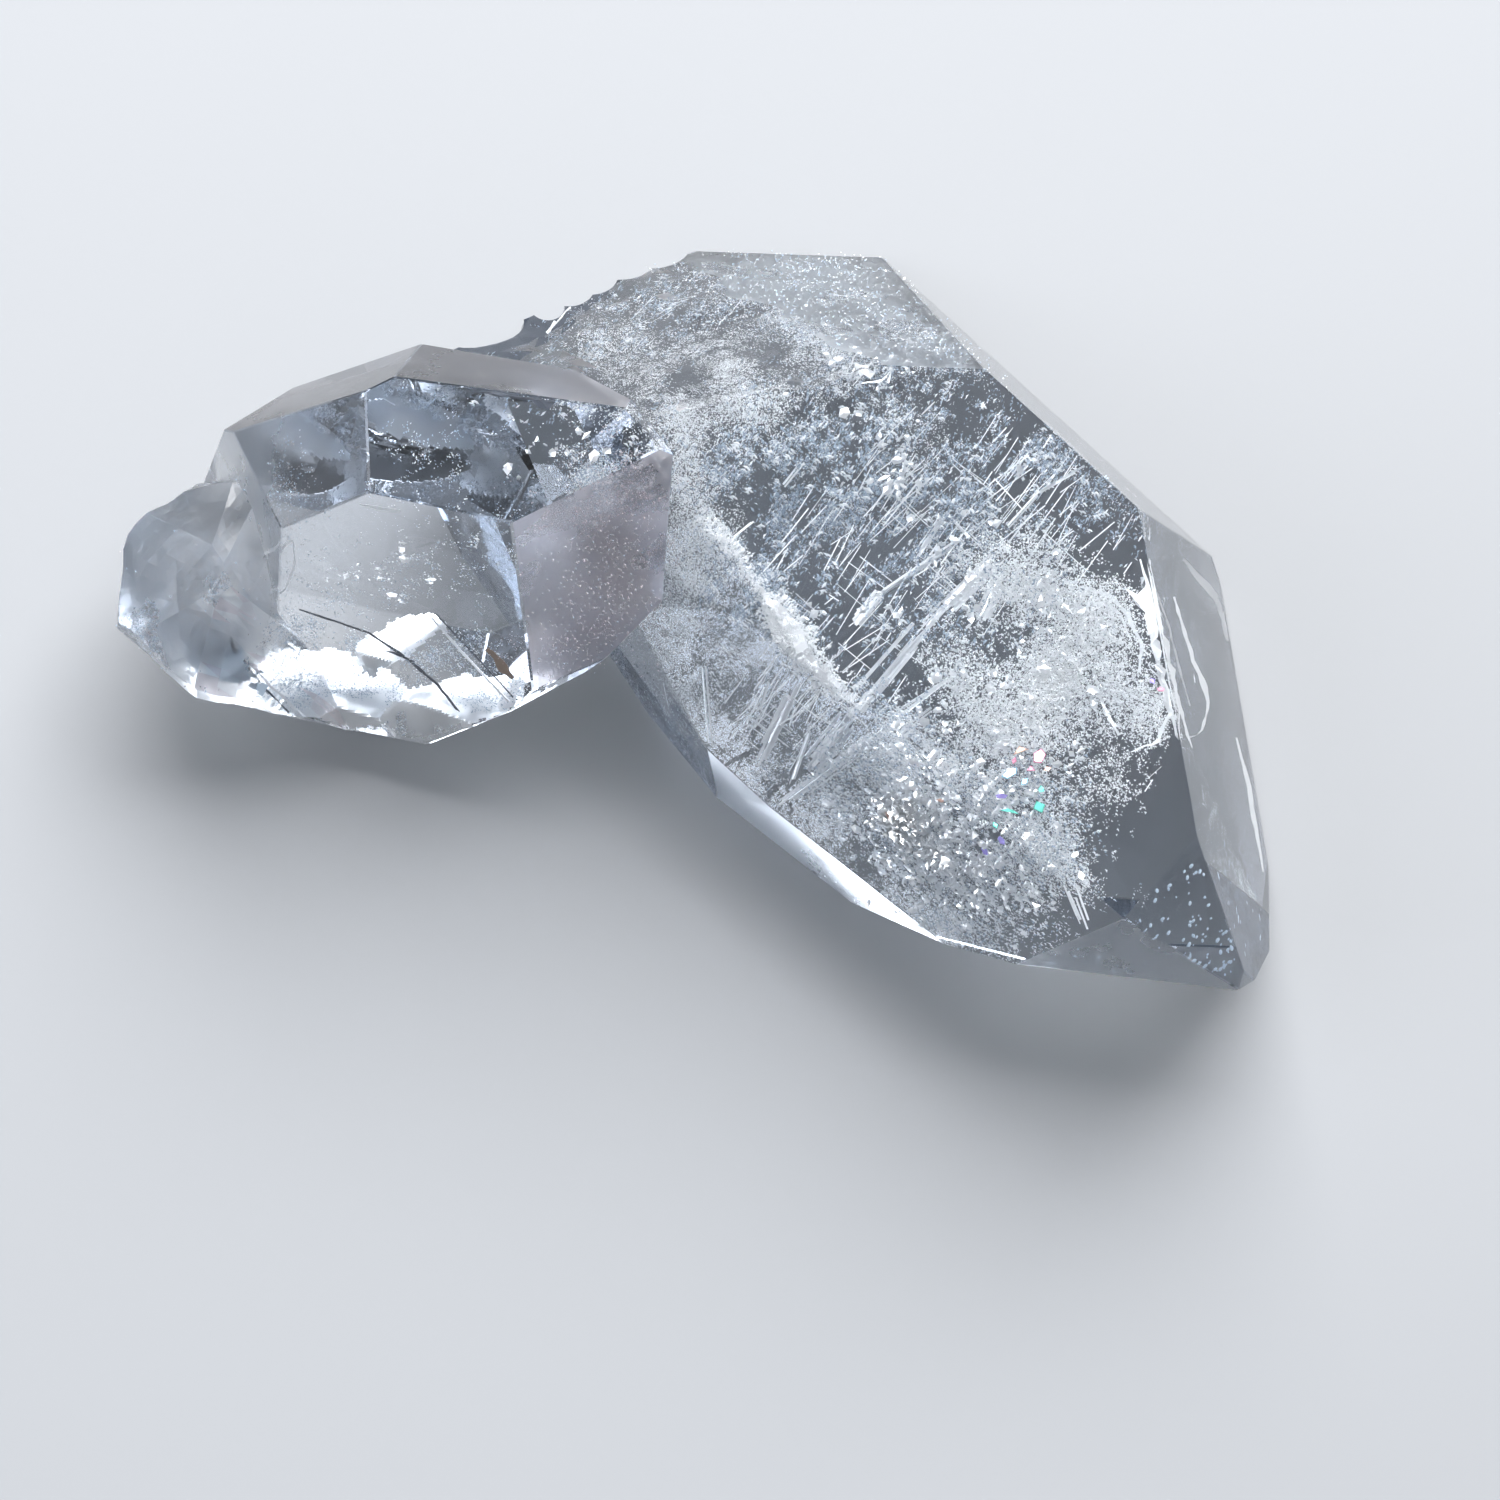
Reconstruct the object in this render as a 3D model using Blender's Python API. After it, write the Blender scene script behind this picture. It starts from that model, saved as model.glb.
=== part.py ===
"""Two quartz crystals grown into each other: a long one lying on a prism face and a stubby one on its end."""
import math

import bmesh
import bpy
from mathutils import Euler, Matrix, Vector, noise

MM = 0.001
NODE_NAME = "quartz_crystal_pair"

# Placement: centre in mm, compass angle of the long axis and its rise above the ground, in degrees.
# Inside a crystal, X runs along the long axis, Z is up and out of the face "top", Y is to the back.
LONG_CENTRE = (8.75, -0.17, 7.8)
LONG_HEADING = -41.7
LONG_RISE = 0.0
STUB_CENTRE = (-14.88, 1.77, 10.95)
STUB_HEADING = -13.5
STUB_RISE = 11.7

# Every crystal face is (angle about the long axis from top towards the back, tilt towards the +X end,
# distance from the crystal's centre in mm). Prism faces tilt by about 0 and end faces by about 38 degrees.
LONG_FACES = {
    "top": (0.0, 0.0, 6.75),
    "backUpper": (72.3, 0.0, 10.8),
    "backLower": (120.0, 0.2, 15.1),
    "rest": (180.0, 0.0, 7.8),
    "frontUpper": (-54.0, 1.3, 8.7),
    "frontLower": (-121.8, 4.8, 12.75),
    "ridgeBand": (-27.0, -2.8, 8.45),
    "frontBand": (-80.0, 0.3, 10.95),
    "frontBandFar": (-82.0, 3.2, 11.1),
    "frontBandNear": (-87.0, -14.6, 11.43),
    "pointTop": (0.6, 35.9, 15.2),
    "pointBackUpper": (58.8, 34.4, 12.1),
    "pointBackLower": (119.6, 37.1, 18.6),
    "pointUnder": (180.0, 38.2, 21.0),
    "pointFrontLower": (-117.8, 33.0, 14.45),
    "pointFrontUpper": (-62.8, 31.1, 15.3),
    "pointTip": (30.0, 57.0, 19.55),
    "pointSide": (69.9, 46.7, 16.73),
    "endBackUpper": (51.6, -34.1, 12.0),
    "endBackLower": (119.9, -38.0, 19.4),
    "endUnder": (180.0, -38.2, 18.0),
    "endTop": (0.0, -38.2, 20.0),
    "endBrokenSide": (90.0, -68.5, 20.34),
}
STUB_FACES = {
    "top": (2.2, 1.5, 8.5),
    "backUpper": (60.0, -3.3, 9.2),
    "backLower": (119.9, 0.0, 5.6),
    "under": (180.0, 0.0, 7.7),
    "frontUpper": (-62.6, 1.3, 3.4),
    "frontLower": (-120.0, 0.6, 10.7),
    "pointFrontUpper": (-59.6, 37.0, 6.7),
    "pointBackUpper": (60.3, 33.1, 13.6),
    "pointFrontLower": (-117.2, 39.2, 9.3),
    "pointFrontEdge": (-88.0, 38.5, 8.2),
    "pointUnder": (180.0, 38.2, 8.4),
    "pointBackLower": (121.9, 39.1, 8.3),
    "endTop": (-10.5, -35.0, 6.8),
    "endBackUpper": (58.5, -33.9, 7.9),
    "endFrontUpper": (-56.5, -50.4, 5.8),
    "endFrontLower": (-120.0, -38.2, 11.9),
    "endUnder": (180.0, -38.2, 11.6),
    "endBackLower": (120.0, -38.2, 9.7),
    "endCorner": (79.2, -51.6, 9.0),
}
EDGE_ROUNDING = 0.07

# The broken upper left end of the long crystal: the plane of the break, its area and its roughness in mm.
BREAK_PLANE = (36.0, -42.1, 12.2)
BREAK_AREA = (54.0, 42.0)
BREAK_SHELLS = (0.16, 1.5)
BREAK_ROUGHNESS = ((0.42, 3.2), (0.14, 0.9))
KNOB = ((-8.99, 12.25, 4.6), (1.5, 0.8, 0.9))

# The lumpy base of the stub: a block cut by planes (compass direction, rise, distance from its centre).
LUMP_CENTRE = (-22.39, 0.05, 7.5)
LUMP_PLANES = (
    (180, 0, 5.1), (155, 5, 5.4), (131, 0, 4.9), (100, 10, 5.0), (229, 0, 4.6), (260, 0, 4.9), (0, 38, 3.0), (300, 38, 3.4),
    (180, 45, 4.1), (230, 45, 4.3), (128, 48, 4.7), (95, 60, 4.9), (265, 55, 4.5), (0, 90, 5.4),
    (180, -48, 4.5), (238, -42, 4.6), (130, -45, 5.0), (60, -60, 5.0), (0, -90, 5.4),
)
LUMP_ROUGHNESS = ((0.34, 2.6), (0.06, 0.9))

# Chips: centre in mm and the three radii of the rounded hollow that each leaves.
CHIPS = (
    ((-2.49, 18.65, 2.5), (1.9, 1.9, 6.5)),
    ((-4.09, 17.55, 2.5), (1.6, 1.6, 6.5)),
    ((-5.59, 16.35, 2.5), (1.25, 1.25, 6.5)),
    ((-6.79, 15.65, 2.5), (1.3, 1.3, 6.5)),
    ((-7.79, 14.35, 3.5), (0.8, 0.8, 6.5)),
    ((-11.29, 13.55, 3.5), (2.4, 1.6, 6.5)),
    ((33.61, -1.65, 3.6), (8.1, 8.1, 8.1)),
)


def face_normal(around, tilt):
    """Direction of a crystal face in the crystal's own axes."""
    a, t = math.radians(around), math.radians(tilt)
    return Vector((math.sin(t), math.cos(t) * math.sin(a), math.cos(t) * math.cos(a)))


def cut_away(bm, point, normal):
    """Removes what lies beyond a plane and closes the opening."""
    geom = bm.verts[:] + bm.edges[:] + bm.faces[:]
    cut = bmesh.ops.bisect_plane(bm, geom=geom, dist=1e-7, plane_co=point, plane_no=normal, clear_outer=True)
    rim = [e for e in cut["geom_cut"] if isinstance(e, bmesh.types.BMEdge)]
    if rim:
        bmesh.ops.edgeloop_fill(bm, edges=rim)


def grown_block(faces, size=80.0):
    """A cube of mother material cut down to the crystal's faces, edges barely rounded."""
    bm = bmesh.new()
    bmesh.ops.create_cube(bm, size=size * MM)
    for around, tilt, out in faces.values():
        normal = face_normal(around, tilt)
        cut_away(bm, normal * out * MM, normal)
    bmesh.ops.remove_doubles(bm, verts=bm.verts[:], dist=1e-6)
    bmesh.ops.bevel(bm, geom=bm.edges[:], offset=EDGE_ROUNDING * MM, offset_type="OFFSET", segments=1,
                    profile=0.5, affect="EDGES", material=-1, clamp_overlap=True)
    bmesh.ops.recalc_face_normals(bm, faces=bm.faces[:])
    return bm


def rough(verts, direction, roughness, seed=0.0):
    """Moves points along a direction, or away from the centre when there is none, by layered noise."""
    for vert in verts:
        away = direction or vert.co.normalized()
        offset = 0.0
        for height, spacing in roughness:
            offset += height * noise.noise(vert.co / (spacing * MM) + Vector((seed, seed, seed)))
        vert.co += away * offset * MM


def break_cutter():
    """A slab with a rough shell-like underside that takes away the broken end."""
    around, tilt, out = BREAK_PLANE
    length, width = BREAK_AREA
    ripple, spacing = BREAK_SHELLS
    bm = bmesh.new()
    bmesh.ops.create_grid(bm, x_segments=76, y_segments=58, size=0.5 * MM)
    bmesh.ops.scale(bm, vec=(length, width, 1.0), verts=bm.verts[:])
    for vert in bm.verts:
        reach = (vert.co - Vector((9.0, -4.0, 0.0)) * MM).length / MM
        vert.co.z += ripple * abs(math.sin(math.pi * reach / (spacing + 0.12 * reach))) * MM
    rough(bm.verts[:], Vector((0, 0, 1)), BREAK_ROUGHNESS, seed=4.0)
    lid = bmesh.ops.extrude_face_region(bm, geom=bm.faces[:])
    raised = [v for v in lid["geom"] if isinstance(v, bmesh.types.BMVert)]
    for vert in raised:
        vert.co.z = 9.0 * MM
    normal = face_normal(around, tilt)
    across = Vector((0.0, 1.0, 0.0)) - normal * normal.y
    across.normalize()
    turn = Matrix((across.cross(normal), across, normal)).transposed().to_4x4()
    bmesh.ops.transform(bm, matrix=Matrix.Translation(normal * out * MM) @ turn, verts=bm.verts[:])
    bmesh.ops.recalc_face_normals(bm, faces=bm.faces[:])
    return bm


def lump_block():
    """The rounded, rough mass at the stub's base."""
    bm = bmesh.new()
    bmesh.ops.create_cube(bm, size=40 * MM)
    for compass, rise, out in LUMP_PLANES:
        c, r = math.radians(compass), math.radians(rise)
        normal = Vector((math.cos(r) * math.cos(c), math.cos(r) * math.sin(c), math.sin(r)))
        cut_away(bm, normal * out * MM, normal)
    bmesh.ops.remove_doubles(bm, verts=bm.verts[:], dist=1e-5)
    bmesh.ops.triangulate(bm, faces=bm.faces[:])
    for _ in range(3):
        long_edges = [e for e in bm.edges if e.calc_length() > 0.9 * MM]
        bmesh.ops.subdivide_edges(bm, edges=long_edges, cuts=1, use_grid_fill=True)
        bmesh.ops.triangulate(bm, faces=bm.faces[:])
    rough(bm.verts[:], None, LUMP_ROUGHNESS, seed=11.0)
    bmesh.ops.recalc_face_normals(bm, faces=bm.faces[:])
    return bm


def rounded_stone(radii, segments=28):
    bm = bmesh.new()
    bmesh.ops.create_uvsphere(bm, u_segments=segments, v_segments=segments // 2, radius=MM)
    bmesh.ops.scale(bm, vec=radii, verts=bm.verts[:])
    return bm


def as_object(bm, name, collection, centre=(0, 0, 0), heading=0.0, rise=0.0):
    """Turns a bmesh into an object placed by its centre, compass heading and rise."""
    mesh = bpy.data.meshes.new(name)
    bm.to_mesh(mesh)
    bm.free()
    obj = bpy.data.objects.new(name, mesh)
    obj.location = Vector(centre) * MM
    obj.rotation_euler = Euler((0.0, -math.radians(rise), math.radians(heading)), "XYZ")
    collection.objects.link(obj)
    return obj


def quartz_material():
    material = bpy.data.materials.new("clear_quartz")
    material.use_nodes = True
    shader = material.node_tree.nodes["Principled BSDF"]
    shader.inputs["Base Color"].default_value = (0.72, 0.75, 0.78, 1.0)
    shader.inputs["Roughness"].default_value = 0.06
    shader.inputs["Metallic"].default_value = 0.0
    shader.inputs["IOR"].default_value = 1.544
    shader.inputs["Transmission Weight"].default_value = 1.0
    return material


def join(target, tool, operation):
    modifier = target.modifiers.new(tool.name, "BOOLEAN")
    modifier.operation = operation
    modifier.solver = "EXACT"
    modifier.object = tool
    tool.hide_render = True
    tool.display_type = "WIRE"


for old in list(bpy.data.objects):
    bpy.data.objects.remove(old, do_unlink=True)
parts = bpy.data.collections.new(NODE_NAME)
tools = bpy.data.collections.new("cutters_and_joined_shapes")
for made in (parts, tools):
    bpy.context.scene.collection.children.link(made)

crystal = as_object(grown_block(LONG_FACES), NODE_NAME, parts, LONG_CENTRE, LONG_HEADING, LONG_RISE)
crystal.data.materials.append(quartz_material())
stub = as_object(grown_block(STUB_FACES), "stub_crystal", tools, STUB_CENTRE, STUB_HEADING, STUB_RISE)
broken = as_object(break_cutter(), "broken_end", tools, LONG_CENTRE, LONG_HEADING, LONG_RISE)
join(crystal, broken, "DIFFERENCE")
knob_centre, knob_radii = KNOB
join(crystal, as_object(rounded_stone(knob_radii, 14), "knob", tools, knob_centre), "UNION")
join(crystal, stub, "UNION")
join(crystal, as_object(lump_block(), "stub_base", tools, LUMP_CENTRE), "UNION")
for number, (chip_centre, chip_radii) in enumerate(CHIPS, 1):
    join(crystal, as_object(rounded_stone(chip_radii), f"chip_{number}", tools, chip_centre), "DIFFERENCE")
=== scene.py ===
import math
import random

import bmesh
import bpy
from mathutils import Euler, Matrix, Vector, noise
from mathutils.bvhtree import BVHTree


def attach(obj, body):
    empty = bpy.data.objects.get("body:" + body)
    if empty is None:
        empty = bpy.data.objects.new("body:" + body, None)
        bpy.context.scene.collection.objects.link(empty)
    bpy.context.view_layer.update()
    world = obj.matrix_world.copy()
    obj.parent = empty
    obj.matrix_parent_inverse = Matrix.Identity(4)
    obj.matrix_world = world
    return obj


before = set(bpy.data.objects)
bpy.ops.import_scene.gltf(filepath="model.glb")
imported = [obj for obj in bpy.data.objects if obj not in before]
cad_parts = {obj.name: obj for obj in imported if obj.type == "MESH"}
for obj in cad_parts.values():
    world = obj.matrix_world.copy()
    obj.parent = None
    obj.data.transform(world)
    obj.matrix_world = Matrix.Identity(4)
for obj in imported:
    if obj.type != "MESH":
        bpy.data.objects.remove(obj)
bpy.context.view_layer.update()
mm = 0.001
fullTurn = 6.28
scene = bpy.context.scene
crystal = bpy.data.objects["quartz_crystal_pair"]


def linearColour(hexText):
    parts = [int(hexText[i:i + 2], 16) / 255 for i in (1, 3, 5)]
    return [p / 12.92 if p <= 0.04045 else ((p + 0.055) / 1.055) ** 2.4 for p in parts] + [1.0]


def addNode(tree, kind, settings=None, values=None, links=None):
    node = tree.nodes.new(kind)
    for name, value in (settings or {}).items():
        setattr(node, name, value)
    for name, value in (values or {}).items():
        node.inputs[name].default_value = value
    for name, source in (links or {}).items():
        tree.links.new(source, node.inputs[name])
    return node


def newMaterial(name, values):
    material = bpy.data.materials.new(name)
    material.use_nodes = True
    shader = material.node_tree.nodes["Principled BSDF"]
    for key, value in values.items():
        shader.inputs[key].default_value = value
    return material


# the camera stands almost over the crystals, a little to the front left; places in millimetres
cameraSetup = {"place": (-20.58, -28.07, 199.71), "right": (0.9935, 0.0, 0.1141), "up": (-0.0123, 0.9941, 0.1074),
               "back": (-0.1134, -0.1081, 0.9876), "reach": 200.0, "lens": 100.63, "sensor": 36.0, "nearest": 0.01}
cameraSpot = Vector(cameraSetup["place"]) * mm
toRight, toUp, toBack = (Vector(cameraSetup[k]).normalized() for k in ("right", "up", "back"))
camera = bpy.data.objects.new("camera", bpy.data.cameras.new("camera"))
scene.collection.objects.link(camera)
camera.matrix_world = Matrix.Translation(cameraSpot) @ Matrix((toRight, toUp, toBack)).transposed().to_4x4()
camera.data.lens = cameraSetup["lens"]
camera.data.sensor_width = cameraSetup["sensor"]
camera.data.clip_start = cameraSetup["nearest"]
scene.camera = camera
scene.view_settings.view_transform = "Standard"

# the plain studio floor, a hair lower than the crystals rest so that the two never share a plane; half its size
# in metres, the drop in millimetres
boardSetup = {"colour": "#7f8184", "roughness": 0.75, "halfSize": 0.6, "drop": 0.15}
bm = bmesh.new()
bmesh.ops.create_grid(bm, x_segments=1, y_segments=1, size=boardSetup["halfSize"],
                      matrix=Matrix.Translation((0, 0, -boardSetup["drop"] * mm)))
boardMesh = bpy.data.meshes.new("board")
bm.to_mesh(boardMesh)
bm.free()
board = bpy.data.objects.new("board", boardMesh)
scene.collection.objects.link(board)
# rolled matt paint: it takes a soft shadow and throws back no shape of the lamps
boardMesh.materials.append(newMaterial("matt_painted_board", {
    "Base Color": linearColour(boardSetup["colour"]), "Roughness": boardSetup["roughness"]}))

# soft boxes: name, place, sizes, power, colour. The one behind is mirrored towards the viewer by level cracks.
lampSetup = [("backLamp", (0.05, 0.38, 0.42), (0.60, 0.45), 14.0, "#ffffff"),
             ("sideLamp", (-0.45, 0.02, 0.30), (0.3, 0.4), 1.6, "#f2f6ff")]
for name, place, size, power, colour in lampSetup:
    lamp = bpy.data.lights.new(name, "AREA")
    lamp.shape = "RECTANGLE"
    lamp.size, lamp.size_y = size
    lamp.energy = power
    lamp.color = linearColour(colour)[:3]
    holder = bpy.data.objects.new(name, lamp)
    scene.collection.objects.link(holder)
    holder.location = place
    holder.rotation_euler = (-Vector(place)).to_track_quat("-Z", "Y").to_euler()

# the room fades from grey walls to a pale ceiling: height, colour
roomSetup = {"strength": 0.6, "fade": [(0.05, "#8f98a6"), (0.75, "#eef2f7")]}
room = bpy.data.worlds.new("soft_room")
scene.world = room
room.use_nodes = True
roomTree = room.node_tree
place = addNode(roomTree, "ShaderNodeTexCoord")
apart = addNode(roomTree, "ShaderNodeSeparateXYZ", links={"Vector": place.outputs["Generated"]})
fade = addNode(roomTree, "ShaderNodeValToRGB", links={"Fac": apart.outputs["Z"]})
for stop, (height, colour) in zip(fade.color_ramp.elements, roomSetup["fade"]):
    stop.position, stop.color = height, linearColour(colour)
roomTree.links.new(fade.outputs["Color"], roomTree.nodes["Background"].inputs["Color"])
roomTree.nodes["Background"].inputs["Strength"].default_value = roomSetup["strength"]
print("stage, lamps and camera ready")

# Places inside the quartz are millimetres right and up of the middle of the view, and how deep along the
# line of sight, which bends where it enters the quartz. The gaps keep the middles of inner pieces off the
# surface; some tips still come up to half a millimetre through it.
quartzIndex = 1.544
insideSetup = {"step": 0.02, "thinnest": 0.5, "nearGap": 0.1, "farGap": 0.2, "skinGap": 0.12}
skinMesh = bmesh.new()
skinMesh.from_mesh(crystal.data)
bmesh.ops.remove_doubles(skinMesh, verts=skinMesh.verts[:], dist=1e-7)
bmesh.ops.recalc_face_normals(skinMesh, faces=skinMesh.faces[:])
skin = BVHTree.FromBMesh(skinMesh)
skinMesh.free()


def sightLine(x, y):
    # where the line of sight enters, which way it goes on inside, and how far
    straight = (toRight * x + toUp * y - toBack * cameraSetup["reach"]).normalized()
    entry, normal, _, _ = skin.ray_cast(cameraSpot, straight)
    if entry is None:
        return None
    if normal.dot(straight) > 0:
        normal = -normal
    ratio = 1 / quartzIndex
    cosIn = -normal.dot(straight)
    bent = straight * ratio + normal * (ratio * cosIn - math.sqrt(1 - ratio * ratio * (1 - cosIn * cosIn)))
    _, _, _, run = skin.ray_cast(entry + bent * insideSetup["step"] * mm, bent)
    return entry, bent.normalized(), (run or 0.0) / mm


def insidePoint(x, y, depth):
    line = sightLine(x, y)
    if line is None or line[2] < insideSetup["thinnest"]:
        return None
    entry, bent, run = line
    return entry + bent * min(max(depth, insideSetup["nearGap"]), run - insideSetup["farGap"]) * mm


def offSkin(point):
    return skin.find_nearest(point)[3] > insideSetup["skinGap"] * mm


# the veils are drawn out along the crystal's growth direction, up to the right: broad drifts with fine ones in them
grainSetup = {"along": (0.67, 0.74), "broad": (2.4, 1.0), "fine": (0.9, 0.4), "fineShare": 0.6}


def growthGrain(x, y, size, seed):
    c, s = grainSetup["along"]
    along, across = x * c + y * s, -x * s + y * c
    waves = [noise.noise(Vector((along / (long * size), across / (wide * size), seed + shift)))
             for (long, wide), shift in ((grainSetup["broad"], 0), (grainSetup["fine"], 5))]
    return waves[0] + grainSetup["fineShare"] * waves[1]


def trail(points, width, weight):
    # a run of overlapping round spots along a line
    spots = []
    for (ax, ay), (bx, by) in zip(points, points[1:]):
        steps = max(1, round(math.hypot(bx - ax, by - ay) / width))
        spots += [(ax + (bx - ax) * (i + 0.5) / steps, ay + (by - ay) * (i + 0.5) / steps, width, width, 0, weight)
                  for i in range(steps)]
    return spots


# how spots thin out from an area's middle, how soft the grain's edge is, how far apart the depth's waves are
scatterSetup = {"tries": 6, "fall": 0.55, "blur": 0.25, "waves": 4.0}


def scatterSpots(setup, own):
    # areas: middle, half sizes, turn and weight of soft-edged ellipses; the grain leaves gaps in them
    areas = setup["areas"]
    share = [rx * ry * weight for (_, _, rx, ry, _, weight) in areas]
    spots = []
    fall, blur, waves = (scatterSetup[k] for k in ("fall", "blur", "waves"))
    for _ in range(setup["count"] * scatterSetup["tries"]):
        if len(spots) >= setup["count"]:
            break
        cx, cy, rx, ry, turn, _ = own.choices(areas, share)[0]
        a, u, v = math.radians(turn), own.gauss(0, fall) * rx, own.gauss(0, fall) * ry
        x, y = cx + u * math.cos(a) - v * math.sin(a), cy + u * math.sin(a) + v * math.cos(a)
        if growthGrain(x, y, setup["grain"], setup["seed"]) + own.uniform(-blur, blur) < setup["gap"]:
            continue
        wave = noise.noise(Vector((x / waves, y / waves, setup["seed"] + 9)))
        point = insidePoint(x, y, setup["depth"] + setup["swell"] * wave + own.uniform(-1, 1) * setup["spread"])
        if point is not None and offSkin(point):
            spots.append(point)
    return spots


def finishPiece(name, bm, *materials):
    mesh = bpy.data.meshes.new(name)
    bm.to_mesh(mesh)
    bm.free()
    for material in materials:
        mesh.materials.append(material)
    piece = bpy.data.objects.new(name, mesh)
    scene.collection.objects.link(piece)
    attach(piece, "root")
    print(name, "has", len(mesh.polygons), "faces")
    return piece


def pourInto(whole, part):
    # moves what is in a small mesh into the whole piece
    store = bpy.data.meshes.new("store")
    part.to_mesh(store)
    part.free()
    whole.from_mesh(store)
    bpy.data.meshes.remove(store)


def gather(shapes, makeShape, batch=40):
    # small batches keep the operators quick
    whole = bmesh.new()
    for start in range(0, len(shapes), batch):
        part = bmesh.new()
        for shape in shapes[start:start + batch]:
            makeShape(part, shape)
        pourInto(whole, part)
    return whole


def paint(verts, slot):
    for face in {f for v in verts for f in v.link_faces}:
        face.material_index = slot


def makeFlake(part, shape):
    point, turn, (length, width, thick), sides, slot = shape
    place = Matrix.Translation(point) @ turn.to_matrix().to_4x4() @ Matrix.Diagonal((length, width, thick, 1))
    made = bmesh.ops.create_cone(part, cap_ends=True, segments=sides, radius1=0.5 * mm, radius2=0.4 * mm, depth=mm,
                                 matrix=place)
    paint(made["verts"], slot)


def makeBar(part, shape):
    start, end, width, thick, facing, slot = shape
    along = end - start
    side = along.cross(facing).normalized()
    turn = Matrix((along.normalized(), side, along.normalized().cross(side))).transposed().to_4x4()
    place = Matrix.Translation((start + end) / 2) @ turn @ Matrix.Diagonal((along.length / mm, width, thick, 1))
    made = bmesh.ops.create_cube(part, size=mm, matrix=place)
    paint(made["verts"], slot)


def makeBubble(part, shape):
    point, turn, radii = shape
    place = Matrix.Translation(point) @ turn.to_matrix().to_4x4() @ Matrix.Diagonal((*radii, 1))
    bmesh.ops.create_icosphere(part, subdivisions=1, radius=mm, matrix=place)


# a ribbon's cell, and how its edge and its middle line wander; no cell may be longer round than "widest"
ribbonSetup = {"cell": 0.35, "least": 6, "edge": 0.5, "bend": 1.3, "bendShare": 0.35, "widest": 8.0}


def makeRibbon(part, shape):
    # a thin band through points (right, up, width, depth), facing the viewer, with a ragged edge
    path, ragged, thick, seed, slot = shape
    edge, bend = ribbonSetup["edge"], ribbonSetup["bend"]
    lengths = [math.hypot(b[0] - a[0], b[1] - a[1]) for a, b in zip(path, path[1:])]
    total = sum(lengths)
    cells = max(ribbonSetup["least"], round(total / ribbonSetup["cell"]))
    grid = bmesh.ops.create_grid(part, x_segments=cells, y_segments=3, size=0.5)
    lost = []
    for vert in grid["verts"]:
        t, s = (vert.co.x + 0.5) * total, vert.co.y
        for (a, b, length) in zip(path, path[1:], lengths):
            if t <= length + 1e-6:
                break
            t -= length
        t = min(t / length, 1.0)
        x, y, width, depth = (a[i] + (b[i] - a[i]) * t for i in range(4))
        nx, ny = -(b[1] - a[1]) / length, (b[0] - a[0]) / length
        rag = 1 + ragged * noise.noise(Vector((x / edge, y / edge, seed + (3 if s > 0 else 0))))
        shift = ragged * ribbonSetup["bendShare"] * width * noise.noise(Vector((x / bend, y / bend, seed + 7)))
        point = insidePoint(x + nx * (s * width * rag + shift), y + ny * (s * width * rag + shift),
                            depth + 0.5 * width * noise.noise(Vector((x, y, seed + 11))))
        if point is None:
            lost.append(vert)
        else:
            vert.co = point
    bmesh.ops.delete(part, geom=lost, context="VERTS")
    faces = [f for v in grid["verts"] if v.is_valid for f in v.link_faces]
    faces = [f for f in dict.fromkeys(faces) if f.calc_perimeter() < ribbonSetup["widest"] * mm]
    for face in faces:
        face.material_index = slot
    if faces:
        bmesh.ops.solidify(part, geom=faces, thickness=thick * mm)


# a flat crack's tears, large and small, its ripple, where its rim is cut, and how it keeps off the surface
crackSetup = {"tears": (1.1, 0.35), "smallTears": 0.6, "ripple": 1.2, "rim": 0.9, "thick": 0.04, "widest": 16,
              "thinnest": 0.6, "nearGap": 0.15, "farGap": 0.25}


def planeSpot(x, y, anchor, normal):
    # where the bent sight line meets a plane inside the quartz
    line = sightLine(x, y)
    if line is None or line[2] < crackSetup["thinnest"]:
        return None
    entry, bent, run = line
    reach = (anchor - entry).dot(normal) / bent.dot(normal) / mm
    return entry + bent * min(max(reach, crackSetup["nearGap"]), run - crackSetup["farGap"]) * mm


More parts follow.
